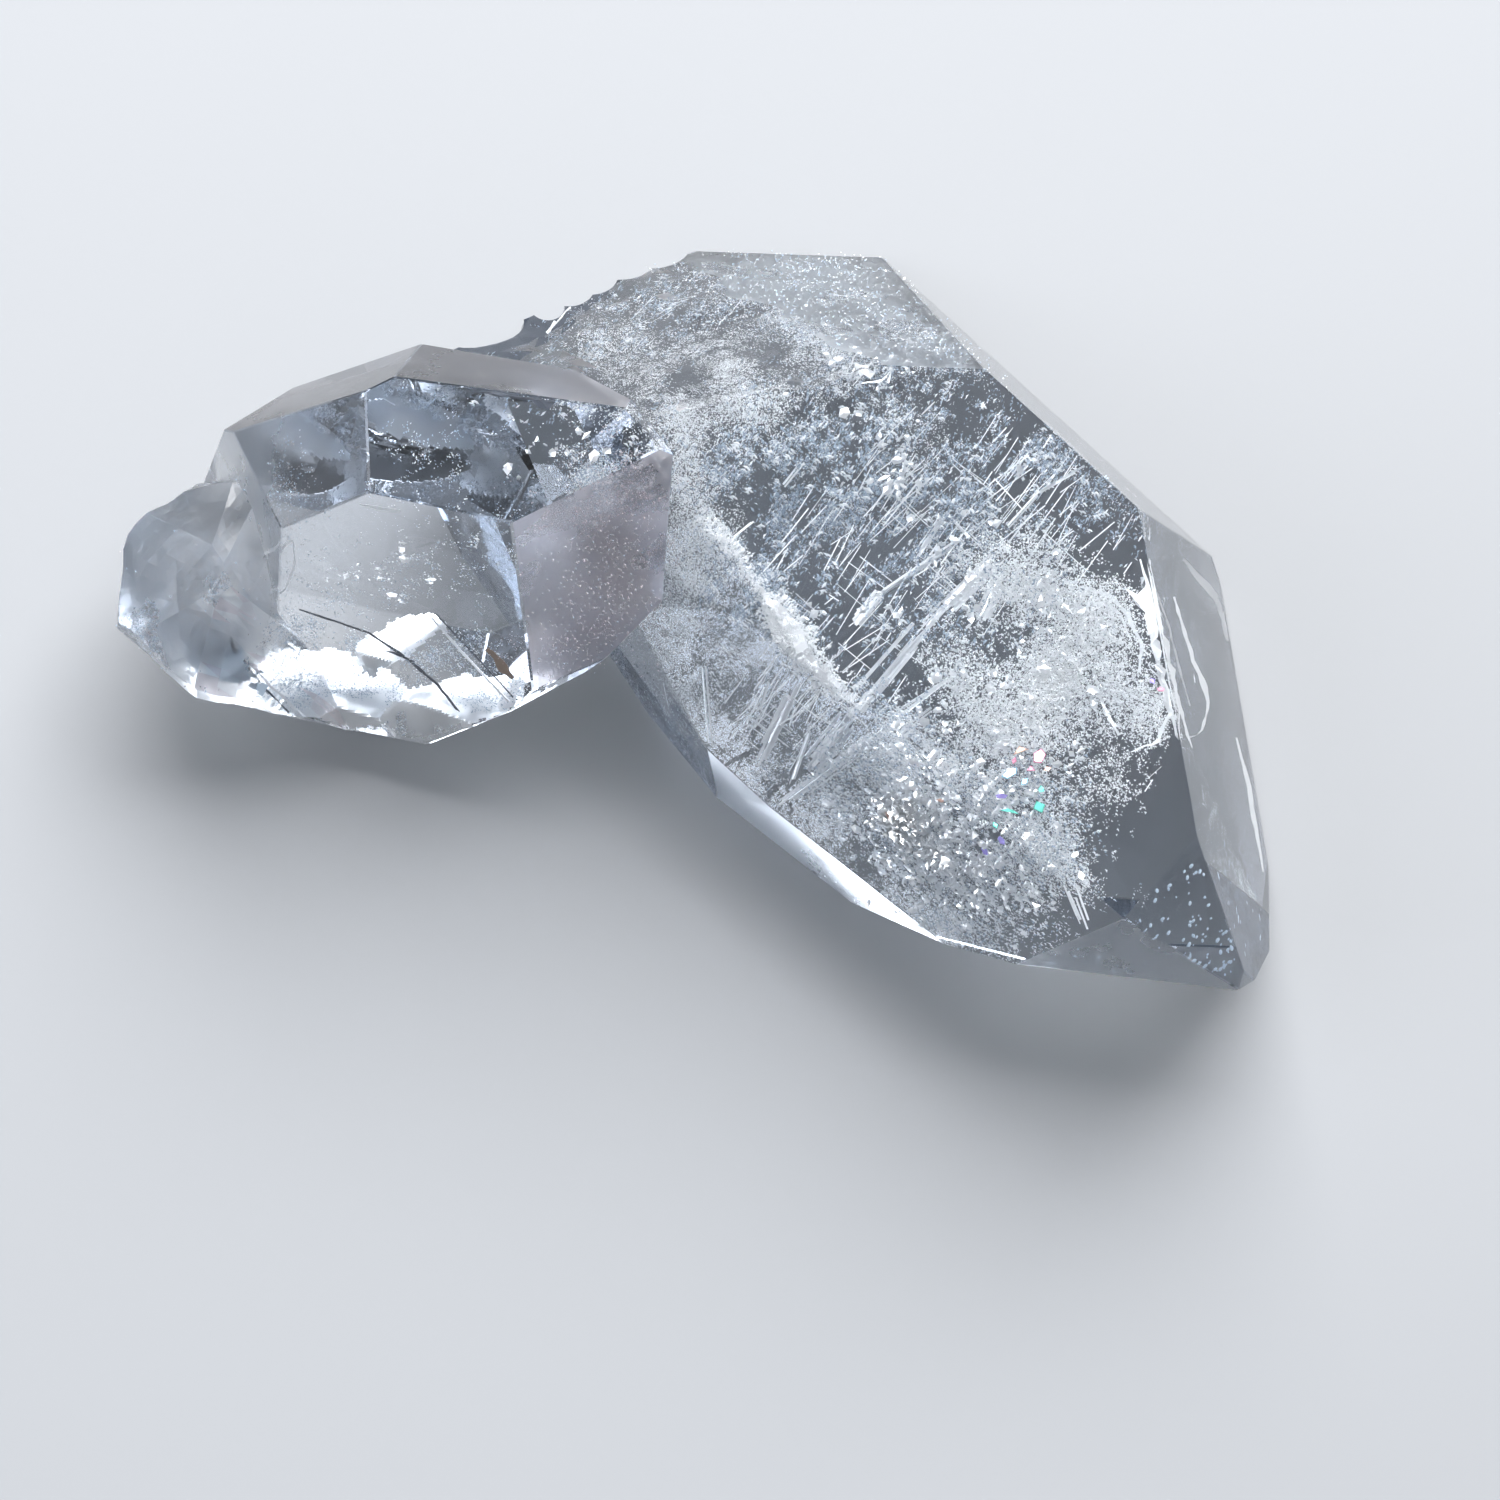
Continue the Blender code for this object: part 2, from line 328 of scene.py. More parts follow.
def makeCrack(part, shape):
    # a flat crack inside the quartz: cells of a grid on a plane, with a ragged outline and holes
    (cx, cy, rx, ry, turn), depth, normal, cell, wave, bow, torn, seed, slot = shape
    anchor = insidePoint(cx, cy, depth)
    normal = Vector(normal).normalized()
    grid = bmesh.ops.create_grid(part, x_segments=round(2 * rx / cell), y_segments=round(2 * ry / cell), size=0.5)
    a = math.radians(turn)
    large, small = crackSetup["tears"]
    ripple = crackSetup["ripple"]
    lost, kept = [], {}
    for vert in grid["verts"]:
        u, v = vert.co.x * 2, vert.co.y * 2
        x = cx + u * rx * math.cos(a) - v * ry * math.sin(a)
        y = cy + u * rx * math.sin(a) + v * ry * math.cos(a)
        point = planeSpot(x, y, anchor, normal)
        rag = (noise.noise(Vector((x / large, y / large, seed)))
               + crackSetup["smallTears"] * noise.noise(Vector((x / small, y / small, seed))))
        if point is None or math.hypot(u, v) + torn * rag > crackSetup["rim"] or not offSkin(point):
            lost.append(vert)
            continue
        swell = wave * noise.noise(Vector((x / ripple, y / ripple, seed + 4))) + bow * (u * u + v * v)
        kept[vert] = point + normal * swell * mm
    for vert, point in kept.items():
        vert.co = point
    bmesh.ops.delete(part, geom=lost, context="VERTS")
    faces = dict.fromkeys(f for v in kept for f in v.link_faces)
    faces = [f for f in faces if f.calc_perimeter() < crackSetup["widest"] * cell * mm]
    stray = [v for v in kept if not v.link_faces]
    for face in faces:
        face.material_index = slot
    bmesh.ops.delete(part, geom=stray, context="VERTS")
    raised = bmesh.ops.extrude_face_region(part, geom=faces, use_keep_orig=True)["geom"]
    bmesh.ops.translate(part, vec=normal * crackSetup["thick"] * mm,
                        verts=[v for v in raised if isinstance(v, bmesh.types.BMVert)])
    bmesh.ops.recalc_face_normals(part, faces=part.faces[:])


# Clear quartz, grown slowly from hot water: glassy faces that mirror the lamp, a faint grey-blue in its depth.
# Some faces are dull, etched as the crystals stopped growing, and spread the light. Directions are those of the faces.
quartzSetup = {"smooth": 0.02, "etched": 0.6, "depthColour": "#ccd3dc", "density": 75.0, "smearSize": 4.0,
               "lump": (-18.5, -21.5), "stub": (-1.5, -2.5), "rosyTint": "#e6d9dc", "smokyTint": "#cdbdb8",
               "closeness": 0.004, "looseness": 0.006,
               "dullFaces": [(0.01, 0.86, 0.51), (0.33, -0.79, 0.52), (-0.12, -0.91, 0.39), (-0.65, -0.74, 0.17),
                             (-0.62, -0.78, 0.14)],
               "rosyFace": (0.33, -0.79, 0.52), "smokyFaces": [(0.05, 0.88, 0.48), (-0.45, 0.84, 0.31)]}
quartz = newMaterial("clear_quartz", {"Base Color": (1, 1, 1, 1), "Roughness": quartzSetup["smooth"],
                                      "IOR": quartzIndex, "Transmission Weight": 1.0})
quartzTree = quartz.node_tree
shader = quartzTree.nodes["Principled BSDF"]
volume = addNode(quartzTree, "ShaderNodeVolumeAbsorption",
                 values={"Color": linearColour(quartzSetup["depthColour"]), "Density": quartzSetup["density"]})
quartzTree.links.new(volume.outputs[0], quartzTree.nodes["Material Output"].inputs["Volume"])
facing = addNode(quartzTree, "ShaderNodeNewGeometry")
place = addNode(quartzTree, "ShaderNodeTexCoord")


def faceMask(direction, width):
    # 1 on the faces that point this way, 0 elsewhere
    turned = addNode(quartzTree, "ShaderNodeVectorMath", {"operation": "DOT_PRODUCT"},
                     {1: Vector(direction).normalized()}, {0: facing.outputs["True Normal"]})
    return addNode(quartzTree, "ShaderNodeMapRange", values={"From Min": 1 - 3 * width, "From Max": 1 - width},
                   links={"Value": turned.outputs["Value"]}).outputs["Result"]


def addUp(sockets):
    total = sockets[0]
    for socket in sockets[1:]:
        total = addNode(quartzTree, "ShaderNodeMath", {"operation": "ADD", "use_clamp": True},
                        links={0: total, 1: socket}).outputs[0]
    return total


apart = addNode(quartzTree, "ShaderNodeSeparateXYZ", links={"Vector": place.outputs["Object"]})


def leftOf(start, end):
    # fades in from one distance right of the middle to another, in millimetres
    return addNode(quartzTree, "ShaderNodeMapRange", values={"From Min": start * mm, "From Max": end * mm},
                   links={"Value": apart.outputs["X"]}).outputs["Result"]


dull = [faceMask(way, quartzSetup["closeness"]) for way in quartzSetup["dullFaces"]]
etched = addUp(dull + [leftOf(*quartzSetup["lump"])])
smear = addNode(quartzTree, "ShaderNodeTexNoise",
                values={"Scale": 1 / (quartzSetup["smearSize"] * mm), "Detail": 5.0, "Roughness": 0.6},
                links={"Vector": place.outputs["Object"]})
dulled = addNode(quartzTree, "ShaderNodeMath", {"operation": "MULTIPLY", "use_clamp": True},
                 links={0: etched, 1: smear.outputs["Fac"]})
rough = addNode(quartzTree, "ShaderNodeMapRange",
                values={"To Min": quartzSetup["smooth"], "To Max": quartzSetup["etched"]},
                links={"Value": dulled.outputs[0]})
quartzTree.links.new(rough.outputs["Result"], shader.inputs["Roughness"])
rosy = faceMask(quartzSetup["rosyFace"], quartzSetup["closeness"])
smokyWays = addUp([faceMask(way, quartzSetup["looseness"]) for way in quartzSetup["smokyFaces"]])
smoky = addNode(quartzTree, "ShaderNodeMath", {"operation": "MULTIPLY"},
                links={0: smokyWays, 1: leftOf(*quartzSetup["stub"])}).outputs[0]
tint = addNode(quartzTree, "ShaderNodeMix", {"data_type": "RGBA"},
               {6: (1, 1, 1, 1), 7: linearColour(quartzSetup["rosyTint"])}, {0: rosy})
tint = addNode(quartzTree, "ShaderNodeMix", {"data_type": "RGBA"},
               {7: linearColour(quartzSetup["smokyTint"])}, {0: smoky, 6: tint.outputs[2]})
quartzTree.links.new(tint.outputs[2], shader.inputs["Base Color"])
for slot in crystal.material_slots:
    slot.material = quartz

# sheets of tiny fluid drops, trapped as cracks healed: dense ones scatter white, thin ones look grey
frostWhite = newMaterial("fluid_filled_veil", {"Base Color": linearColour("#f6f9fc"), "Roughness": 0.5})
frostGrey = newMaterial("thin_fluid_veil", {"Base Color": linearColour("#a9b8c8"), "Roughness": 0.5})
# hollow threads left behind as the crystal grew: their round walls gleam along their length
tubeWhite = newMaterial("growth_tube_wall", {"Base Color": linearColour("#f7fafd"), "Roughness": 0.35})
# open cracks full of air turn light back whole, like a hazy mirror
mirrorCrack = newMaterial("air_filled_crack", {
    "Base Color": linearColour("#fbfdff"), "Metallic": 1.0, "Roughness": 0.35})
# the far sides of steps in a crack lie in their own shade
shadowGrey = newMaterial("shaded_crack", {"Base Color": linearColour("#3f4652"), "Roughness": 0.5})
# iron from the water dried in a chip: a dull brown stain
brownIron = newMaterial("iron_stained_chip", {"Base Color": linearColour("#806a57"), "Roughness": 0.5})
# the stub's point was etched finely with a trace of iron: matt, rosy grey
rosyFrost = newMaterial("rosy_etched_frost", {"Base Color": linearColour("#c9bec2"), "Roughness": 0.7})
# clouded quartz at the broken base: a warm grey smoke
smokyFrost = newMaterial("smoky_frost", {"Base Color": linearColour("#aaa3a2"), "Roughness": 0.6})
# films of air so thin that each sends back one pure colour, bright only at the mirror angle
filmColours = {"pink": "#ffb3cd", "peach": "#ffd6c2", "teal": "#7be8d4", "paleBlue": "#bfeaff", "violet": "#c2b3ff"}
rainbow = [newMaterial("thin_air_film_" + name, {
    "Base Color": linearColour(colour), "Roughness": 0.35, "Metallic": 0.8}) for name, colour in filmColours.items()]
print("materials ready")

# clumps are made once and set down many times; kinds is how many different ones a piece has
clumpSetup = {"kinds": 14, "heights": (1, 1, 0.4), "sway": 0.15, "scales": (0.75, 1.3), "group": 400,
              "streakSway": 0.25}
flakeLooks = {"flakes": 6, "lean": 0.5, "tilt": 0, "slim": (0.35, 0.9), "thick": 0.03, "sides": (3, 3, 4),
              "streaks": None, "mix": None}


def makeClumps(setup, own, slots):
    # a clump is a handful of flat flakes, each a little pyramid, drawn out along the streaks if it has any
    clumps = []
    low, high = setup["size"]
    for _ in range(clumpSetup["kinds"]):
        part = bmesh.new()
        for _ in range(setup["flakes"]):
            size = low * (high / low) ** own.random()
            away = [own.gauss(0, 0.5) * setup["clump"] * k * mm for k in clumpSetup["heights"]]
            if setup["streaks"]:
                streak = own.choice(setup["streaks"]) + own.gauss(0, clumpSetup["streakSway"])
            else:
                streak = own.uniform(0, fullTurn)
            turn = Euler((own.gauss(0, setup["lean"]), own.gauss(0, setup["lean"]), streak))
            sizes = (size, size * own.uniform(*setup["slim"]), setup["thick"], 1)
            place = Matrix.Translation(away) @ turn.to_matrix().to_4x4() @ Matrix.Diagonal(sizes)
            made = bmesh.ops.create_cone(part, cap_ends=True, segments=own.choice(setup["sides"]),
                                         radius1=0.5 * mm, radius2=0, depth=mm, matrix=place)
            paint(made["verts"], own.choices(range(slots), setup["mix"])[0] if slots > 1 else 0)
        clump = bpy.data.meshes.new("clump")
        part.to_mesh(clump)
        part.free()
        clumps.append(clump)
    return clumps


def flakePiece(name, setup, *materials):
    setup = {**flakeLooks, **setup}
    own = random.Random(setup["seed"])
    clumps = makeClumps(setup, own, len(materials))
    sway = clumpSetup["sway"]
    whole, part = bmesh.new(), bmesh.new()
    spots = scatterSpots(setup, own)
    for number, point in enumerate(spots, 1):
        spin = own.gauss(0, sway) if setup["streaks"] else own.uniform(0, fullTurn)
        turn = Euler((own.gauss(setup["tilt"], sway), own.gauss(0, sway), spin)).to_matrix().to_4x4()
        place = Matrix.Translation(point) @ turn @ Matrix.Scale(own.uniform(*clumpSetup["scales"]), 4)
        clump = own.choice(clumps)
        clump.transform(place)
        part.from_mesh(clump)
        clump.transform(place.inverted())
        if number % clumpSetup["group"] == 0 or number == len(spots):
            pourInto(whole, part)
            part = bmesh.new()
    part.free()
    for clump in clumps:
        bpy.data.meshes.remove(clump)
    return finishPiece(name, whole, *materials)


# granular veils through the upper half of the long crystal
frostSetup = {"count": 5000, "clump": 0.28, "size": (0.06, 0.36), "slim": (0.12, 0.5),
              "streaks": (0.9, 0.8, 1.0, -0.65), "seed": 21, "grain": 1.0, "gap": 0.0, "depth": 2.2, "swell": 1.8,
              "spread": 0.8, "mix": (2, 3), "areas": [
                  (1.0, 13.4, 5.0, 3.6, -15, 1.0), (6.2, 11.9, 6.2, 4.5, -10, 1.0),
                  (11.9, 9.1, 5.2, 3.8, -40, 0.7), (-5.2, 20.5, 5.2, 2.1, 25, 0.9),
                  (14.8, 13.4, 4.3, 1.9, -45, 0.7), (0.5, 7.6, 3.3, 2.9, 30, 0.8),
                  (6.2, 17.2, 5.7, 1.9, -25, 0.6), (8.6, 6.2, 4.3, 2.4, 45, 0.5)]}
flakePiece("granular_veils", frostSetup, frostWhite, frostGrey)

# milky haze: flakes at the edge of sight
hazeSetup = {"count": 6000, "clump": 0.3, "size": (0.05, 0.12), "seed": 35, "grain": 2.2, "gap": -0.3, "depth": 1.3,
             "swell": 1.0, "spread": 0.6, "sides": (3,), "areas": [
                 (-2.4, 18.1, 4.5, 2.0, 12, 1.2), (-6.7, 19.3, 2.4, 1.9, 0, 0.8), (3.3, 19.1, 3.3, 1.4, -20, 0.8),
                 (-3.1, 14.3, 1.4, 4.3, 0, 1.0), (-2.9, 9.1, 2.1, 3.3, 0, 1.2), (-4.1, 5.2, 2.1, 2.6, 30, 1.0),
                 (0.5, 16.2, 2.9, 1.4, 0, 0.7), (-0.5, 2.9, 2.9, 1.9, -40, 0.4), (7.2, 15.7, 3.3, 1.4, -30, 0.3),
                 (-2.9, 2.4, 1.2, 2.9, 35, 0.8)]}
flakePiece("milky_haze", hazeSetup, frostWhite)

# the milky cloud with its curled rim
cloudSetup = {"count": 5500, "clump": 0.3, "size": (0.08, 0.2), "seed": 47, "grain": 1.8, "gap": -0.6, "depth": 1.4,
              "swell": 0.7, "spread": 0.5, "sides": (3,), "areas": [
                  (14.5, 3.3, 1.8, 2.3, 0, 2.2), (16.5, 6.2, 2.3, 1.8, -30, 1.4), (13.8, 7.3, 2.1, 1.2, 0, 1.4),
                  (17.4, 2.9, 1.9, 2.1, 0, 1.0), (12.2, 1.0, 2.6, 1.9, 0, 1.0), (19.1, 1.7, 1.1, 1.5, 0, 0.8),
                  (10.3, 3.3, 1.7, 2.9, 30, 0.7), (12.4, 8.6, 2.9, 1.9, 0, 0.6), (17.2, -1.4, 1.7, 1.9, 0, 0.3)]}
flakePiece("milky_cloud", cloudSetup, frostWhite)

# frost under the front faces, around the sparkling cracks
frontSetup = {"count": 5800, "clump": 0.25, "size": (0.07, 0.26), "slim": (0.2, 0.7),
              "streaks": (0.9, -0.65, -0.5), "seed": 59, "grain": 1.2, "gap": -0.45, "depth": 1.9, "swell": 0.6,
              "spread": 0.5, "lean": 0.35, "sides": (3,), "mix": (3, 1), "areas": [
                  (7.2, -1.9, 3.8, 2.9, -30, 1.0), (10.5, -5.2, 4.1, 2.9, -20, 1.2), (12.4, -1.4, 2.9, 2.9, 0, 1.0),
                  (14.3, -4.8, 1.9, 2.9, 0, 0.9), (5.7, 0.5, 2.4, 1.9, 0, 0.7), (10.0, -8.6, 2.9, 0.9, -15, 1.2),
                  (3.8, -2.4, 1.9, 1.4, -40, 0.8), (0.5, -1.4, 1.0, 1.4, -50, 0.7)]}
flakePiece("front_frost", frontSetup, frostWhite, frostGrey)

# the bright ridge: a healed crack that runs down the long crystal beside the stub
ridgeSetup = {"count": 1400, "clump": 0.14, "size": (0.07, 0.22), "seed": 61, "grain": 1.5, "gap": -0.9, "depth": 0.7,
              "swell": 0.3, "spread": 0.3, "lean": 0.3, "mix": (3, 1), "areas": trail(
                  [(-2.4, 11.0), (-1.1, 9.9), (0.5, 7.7), (1.9, 5.8)], 0.4, 0.6)
              + trail([(1.0, 6.9), (2.4, 4.8), (3.8, 3.0)], 0.7, 1.6) + trail([(3.4, 3.4), (5.1, 2.1)], 0.4, 0.6)}
flakePiece("bright_ridge", ridgeSetup, frostWhite, tubeWhite)

# the end face at the upper right is frosted all over
endSetup = {"count": 4200, "clump": 0.3, "size": (0.06, 0.14), "seed": 67, "grain": 3.0, "gap": -0.45, "depth": 0.3,
            "swell": 0.1, "spread": 0.1, "lean": 0.2, "sides": (3,), "mix": (2, 2), "areas": [
                (0.5, 21.9, 4.1, 1.4, -5, 1.0), (4.3, 22.4, 3.8, 1.2, 0, 1.0), (6.7, 20.5, 4.1, 1.3, -35, 1.0),
                (3.3, 20.0, 3.8, 1.1, -10, 1.0), (9.5, 19.1, 2.4, 0.7, -30, 0.9), (2.4, 23.1, 4.3, 0.6, 0, 0.8)]}
flakePiece("end_face_frost", endSetup, frostWhite, frostGrey)

# sparkling crumbs: cracks full of air that throw the light back
sparkSetup = {"count": 760, "flakes": 5, "clump": 0.4, "size": (0.12, 0.5), "seed": 63, "grain": 0.8, "gap": -0.1,
              "depth": 0.6, "swell": 0.2, "spread": 0.3, "lean": 0.22, "tilt": -0.19, "thick": 0.05, "sides": (3, 4, 5),
              "areas": [
                  (7.0, -3.5, 1.0, 1.4, 0, 7.0), (7.4, -3.1, 2.4, 2.9, 20, 2.4), (10.3, -5.5, 3.6, 2.6, -20, 2.0),
                  (10.0, -1.4, 5.2, 4.3, -20, 0.35), (5.7, 18.6, 1.7, 1.2, 0, 0.8), (7.2, 13.4, 2.9, 1.9, 0, 0.3),
                  (11.9, 7.2, 7.2, 5.7, 0, 0.1), (14.9, 5.2, 1.4, 1.4, 0, 0.5),
                  (-16.7, 8.8, 3.3, 1.3, 15, 0.35), (-9.1, 14.3, 1.9, 1.4, 0, 0.3)]}
flakePiece("spark_crumbs", sparkSetup, mirrorCrack)

# bright plates lying in the same cracks: place, size and turn
plateSetup = {"depth": 0.35, "thick": 0.06, "lean": -0.17, "sway": (0.1, 0.12), "sides": (4, 5, 6), "seed": 71,
              "plates": [
    (10.6, -3.2, 0.8, 0.6, 20), (10.1, -4.4, 0.7, 0.25, 80), (9.7, -6.2, 0.75, 0.3, 60), (11.9, -5.2, 0.9, 0.2, 50),
    (12.5, -4.5, 0.7, 0.15, 70), (11.3, -8.1, 0.35, 0.3, 0), (21.2, 3.4, 0.25, 0.5, 0), (1.7, 17.0, 0.35, 0.2, 30),
    (8.0, 15.7, 0.25, 0.2, 0), (8.5, 16.3, 1.0, 0.1, 45), (6.4, 13.0, 0.7, 0.2, 20), (7.3, 12.6, 0.5, 0.2, -30),
    (15.5, -5.0, 0.5, 0.3, 35), (15.8, -6.0, 0.4, 0.6, 15), (13.0, 5.2, 0.3, 0.2, 0), (6.2, -2.9, 0.5, 0.35, 60),
    (7.4, -4.5, 0.45, 0.3, 20), (8.3, -5.6, 0.5, 0.2, 70), (9.1, -7.4, 0.4, 0.2, 40), (6.4, -1.2, 0.4, 0.2, 10)]}
own = random.Random(plateSetup["seed"])
flakes = []
for x, y, length, width, turn in plateSetup["plates"]:
    point = insidePoint(x, y, plateSetup["depth"])
    tilt = Euler((plateSetup["lean"] + own.gauss(0, plateSetup["sway"][0]), own.gauss(0, plateSetup["sway"][1]),
                  math.radians(turn)))
    flakes.append((point, tilt, (length, width, plateSetup["thick"]), own.choice(plateSetup["sides"]), 0))
finishPiece("bright_plates", gather(flakes, makeFlake), mirrorCrack)

# coloured cracks: films of air so thin that they show one colour; place, size, turn and colour
filmSetup = {"depth": 0.45, "depthSway": 0.15, "thick": 0.04, "narrow": 0.85, "lean": -0.17, "sway": 0.15,
             "sides": (3, 4, 5), "films": [
    (12.9, 0.0, 0.9, 0.5, 20, 1), (13.8, -0.3, 0.8, 0.7, 60, 0), (13.4, -0.9, 0.5, 0.4, 0, 0),
    (12.4, -1.1, 0.9, 0.5, 30, 3), (12.4, -2.9, 1.1, 0.35, -10, 2), (13.8, -2.7, 0.6, 0.8, 20, 2),
    (13.9, -1.9, 0.3, 0.6, 0, 2), (7.9, -3.7, 0.9, 1.1, 10, 3), (12.0, -4.3, 0.4, 0.7, 0, 4),
    (12.0, -2.2, 0.6, 0.3, 0, 4), (6.7, -3.1, 0.8, 0.9, 40, 1), (13.1, -1.5, 0.5, 0.4, 45, 3),
    (9.1, -2.4, 0.5, 0.3, 0, 1), (19.6, 2.9, 0.4, 0.3, 0, 0), (11.2, -4.8, 0.4, 0.7, 0, 4),
    (19.2, 3.3, 0.3, 0.4, 30, 4), (12.6, -0.5, 0.4, 0.3, 70, 0), (14.2, -0.9, 0.4, 0.3, 20, 1),
    (11.7, -3.6, 0.3, 0.5, 20, 2)]}
flakes = []
for x, y, length, width, turn, colour in filmSetup["films"]:
    point = insidePoint(x, y, filmSetup["depth"] + own.uniform(-1, 1) * filmSetup["depthSway"])
    tilt = Euler((filmSetup["lean"] + own.gauss(0, filmSetup["sway"]), own.gauss(0, filmSetup["sway"]),
                  math.radians(turn)))
    flakes.append((point, tilt, (length, width * filmSetup["narrow"], filmSetup["thick"]),
                   own.choice(filmSetup["sides"]), colour))
finishPiece("coloured_cracks", gather(flakes, makeFlake), *rainbow)

# growth tubes: bundles of fine pale threads; ends, width, threads, depths
tubeSetup = {"thread": (0.05, 0.16), "thick": 0.06, "aside": 0.3, "skew": 0.04, "leads": (-0.05, 0.25),
             "ends": (0.75, 1.05), "depthSway": 0.3, "shortest": 0.3, "twist": 0.5, "slots": (0, 0, 1), "tubes": [
    (11.6, 8.9, 9.4, 6.7, 0.9, 14, 2.0, 2.2), (9.7, 7.2, 8.1, 5.4, 0.5, 7, 2.2, 2.5),
    (8.3, 5.6, 4.9, 1.6, 0.75, 12, 2.4, 3.2), (5.0, 1.7, 2.9, -1.0, 1.0, 12, 3.2, 2.0),
    (9.4, 11.4, 7.8, 9.1, 0.4, 6, 2.0, 2.3), (9.7, 9.9, 5.9, 7.3, 0.45, 7, 2.2, 2.5),
    (6.1, 7.5, 4.9, 6.1, 0.7, 7, 2.4, 2.6), (9.4, 11.4, 10.5, 10.2, 0.25, 3, 2.0, 2.0),
    (10.4, 10.3, 11.1, 9.6, 0.2, 2, 2.0, 2.1), (2.4, 3.3, 0.5, -0.6, 0.6, 7, 2.0, 1.6),
    (3.0, 1.6, 1.8, -1.9, 0.3, 3, 1.8, 1.4), (0.8, 3.3, 0.3, 1.6, 0.25, 2, 2.2, 2.0),
    (9.4, 3.3, 6.5, 1.0, 0.3, 3, 3.0, 3.0), (6.7, 1.1, 1.6, -2.7, 0.5, 6, 3.0, 1.6),
    (15.9, 13.5, 13.8, 12.3, 0.15, 2, 1.4, 1.6), (13.8, 12.3, 11.9, 10.2, 0.2, 2, 1.6, 2.0),
    (0.2, 11.0, -1.0, 10.0, 0.2, 2, 1.4, 1.4), (2.7, 14.0, 1.4, 12.4, 0.2, 2, 1.6, 1.6),
    (9.2, 2.4, 4.8, -1.2, 0.3, 3, 3.2, 2.1), (11.9, 8.3, 11.0, 6.3, 0.9, 8, 1.8, 2.0),
    (-2.1, 3.8, -1.8, 0.2, 0.25, 2, 1.2, 1.2), (15.9, -8.3, 15.1, -6.4, 0.3, 3, 1.0, 1.2),
    (16.2, -8.6, 15.5, -6.7, 0.2, 2, 1.0, 1.2)]}
bars = []
for ax, ay, bx, by, width, threads, startDepth, endDepth in tubeSetup["tubes"]:
    length = math.hypot(bx - ax, by - ay)
    nx, ny = -(by - ay) / length, (bx - ax) / length
    for _ in range(threads):
        side = own.gauss(0, tubeSetup["aside"]) * width
        lead, reach = own.uniform(*tubeSetup["leads"]), own.uniform(*tubeSetup["ends"])
        far = side + own.gauss(0, tubeSetup["skew"]) * width
        sway = tubeSetup["depthSway"]
        start = insidePoint(ax + (bx - ax) * lead + nx * side, ay + (by - ay) * lead + ny * side,
                            startDepth + own.uniform(-sway, sway))
        end = insidePoint(ax + (bx - ax) * reach + nx * far, ay + (by - ay) * reach + ny * far,
                          endDepth + own.uniform(-sway, sway))
        if start and end and (end - start).length > tubeSetup["shortest"] * mm:
            twist = tubeSetup["twist"]
            facingWay = toBack + Vector((own.uniform(-twist, twist), own.uniform(-twist, twist), 0))
            bars.append((start, end, own.uniform(*tubeSetup["thread"]) * (0.5 + width), tubeSetup["thick"],
                         facingWay, own.choice(tubeSetup["slots"])))
finishPiece("growth_tubes", gather(bars, makeBar), tubeWhite, mirrorCrack)

# fine needles, crossing in a few fixed directions
needleSetup = {"count": 260, "seed": 83, "grain": 2.0, "gap": -0.1, "depth": 1.8, "swell": 1.0, "spread": 0.6,
               "width": (0.025, 0.06), "length": (0.4, 2.4), "stretch": 1.3, "leans": (54, 54, 60, 48, 50, 36, -40),
               "leanSway": 4, "dip": 0.2, "endGap": 0.25, "areas": [
                   (0.5, 1.4, 2.6, 2.6, 0, 1.2), (5.2, 4.3, 2.4, 1.7, 40, 0.8), (7.2, 10.0, 5.7, 3.8, 0, 0.4),
                   (12.4, 11.0, 4.3, 2.9, -40, 0.3), (17.6, -3.8, 1.9, 2.9, 0, 0.08), (3.3, 7.6, 2.9, 2.9, 0, 0.4),
                   (-5.2, 20.0, 2.9, 1.9, 0, 0.3), (18.1, 9.1, 1.0, 2.4, 10, 0.3)]}
own = random.Random(needleSetup["seed"])
bars = []
for point in scatterSpots(needleSetup, own):
    lean = math.radians(own.choice(needleSetup["leans"]) + own.gauss(0, needleSetup["leanSway"]))
    dip = own.uniform(-1, 1) * needleSetup["dip"]
    along = (toRight * math.cos(lean) + toUp * math.sin(lean) + toBack * dip).normalized()
    end = point + along * own.uniform(*needleSetup["length"]) ** needleSetup["stretch"] * mm
    near, outward, _, gapLeft = skin.find_nearest(end)
    if gapLeft > needleSetup["endGap"] * mm and outward.dot(near - end) > 0:
        width = own.uniform(*needleSetup["width"])
        bars.append((point, end, width, width, toBack, 0))
finishPiece("fine_needles", gather(bars, makeBar), tubeWhite)

